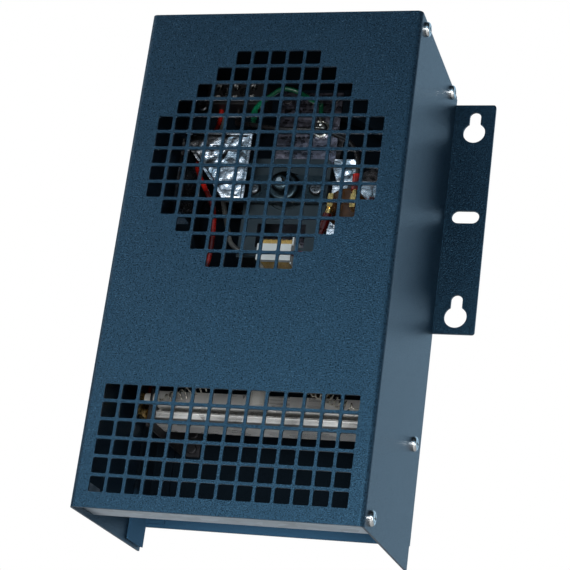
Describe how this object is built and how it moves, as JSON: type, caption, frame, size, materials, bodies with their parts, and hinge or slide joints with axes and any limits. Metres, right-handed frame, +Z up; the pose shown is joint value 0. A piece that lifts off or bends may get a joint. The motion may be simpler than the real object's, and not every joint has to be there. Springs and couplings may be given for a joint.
{
  "type": "cabinet heater",
  "caption": "Wall-mounted fan heater in a tall folded sheet cover with an octagonal intake grille, a lower outlet grille and eared back plate.",
  "frame": {"origin": "middle of the footprint, level with the cover's lower edges", "axes": "+X to the right across the front, +Y from the front to the wall, +Z up"},
  "size_m": [0.1952, 0.1016, 0.272],
  "materials": {
    "cover_paint": "dark slate blue powder coat, fine texture",
    "plate_paint": "dark slate blue powder coat, fine texture",
    "galvanised_sheet": "galvanised sheet, faint spangle",
    "bright_sheet": "bright plated sheet",
    "zinc_screw": "bright zinc plate",
    "rivet_aluminium": "satin",
    "fan_aluminium": "mill finish",
    "lamination_steel": "dark laminations",
    "cast_bracket": "die cast, satin",
    "ground_steel": "ground",
    "bearing_bronze": "sintered",
    "bright_cap": "bright",
    "brass_terminal": "satin",
    "coil_wire": "oxidised resistance wire",
    "white_ceramic": "unglazed white",
    "white_moulding": "satin",
    "black_moulding": "satin",
    "amber_moulding": "glossy amber brown",
    "brown_moulding": "satin, dark brown",
    "tan_tape": "tan tape over copper wire",
    "red_insulation": "soft gloss",
    "green_insulation": "soft gloss",
    "black_insulation": "soft gloss",
    "white_insulation": "soft gloss"
  },
  "bodies": {
    "casing": {"back_plate": "plate_paint", "bottom_rail": "galvanised_sheet", "bracket_rivets": "rivet_aluminium", "bus_bars": "brass_terminal", "coil_post": "white_ceramic", "control_bracket": "bright_sheet", "cover": "cover_paint", "cover_screws": "zinc_screw", "element_bracket_left": "galvanised_sheet", "element_bracket_right": "galvanised_sheet", "element_bushings": "white_ceramic", "element_lead": "red_insulation", "element_shield": "galvanised_sheet", "element_tray": "galvanised_sheet", "fan_collar": "plate_paint", "fan_plate": "plate_paint", "fan_standoffs": "zinc_screw", "feed_lead": "black_insulation", "ground_lead": "green_insulation", "ground_ring": "brass_terminal", "ground_screw": "zinc_screw", "heater_coil_front": "coil_wire", "heater_coil_rear": "coil_wire", "heater_coils_upper": "coil_wire", "inlet_bushing": "black_moulding", "lead_splice": "white_moulding", "limit_body": "bright_cap", "limit_cap": "brown_moulding", "limit_lead": "red_insulation", "limit_studs": "brass_terminal", "load_lead": "red_insulation", "motor_bearings": "bearing_bronze", "motor_bobbin": "white_moulding", "motor_core": "lamination_steel", "motor_front_bracket": "cast_bracket", "motor_load_lead": "red_insulation", "motor_neutral_lead": "white_insulation", "motor_nuts": "zinc_screw", "motor_rear_bracket": "cast_bracket", "motor_screws": "zinc_screw", "motor_spacers": "zinc_screw", "motor_strap": "galvanised_sheet", "motor_winding": "tan_tape", "return_lead": "red_insulation", "side_angle_left": "plate_paint", "side_angle_right": "plate_paint", "spade_receptacles": "brass_terminal", "spade_sleeves": "red_insulation", "standoff_screws": "zinc_screw", "terminal_block": "black_moulding", "terminal_screws": "zinc_screw", "thermostat_body": "amber_moulding", "thermostat_bracket": "bright_sheet", "thermostat_cap": "bright_cap", "thermostat_spades": "brass_terminal", "wall_rivets": "rivet_aluminium"},
    "rotor": {"rotor_core": "lamination_steel", "fan_shaft": "ground_steel", "fan_impeller": "fan_aluminium", "impeller_clip": "ground_steel"}
  },
  "joints": [
    {"name": "fan_spin", "type": "hinge", "parent": "casing", "child": "rotor", "pos_m": [0, 0, 0.1885], "axis": [0, 1, 0], "continuous": true}
  ]
}
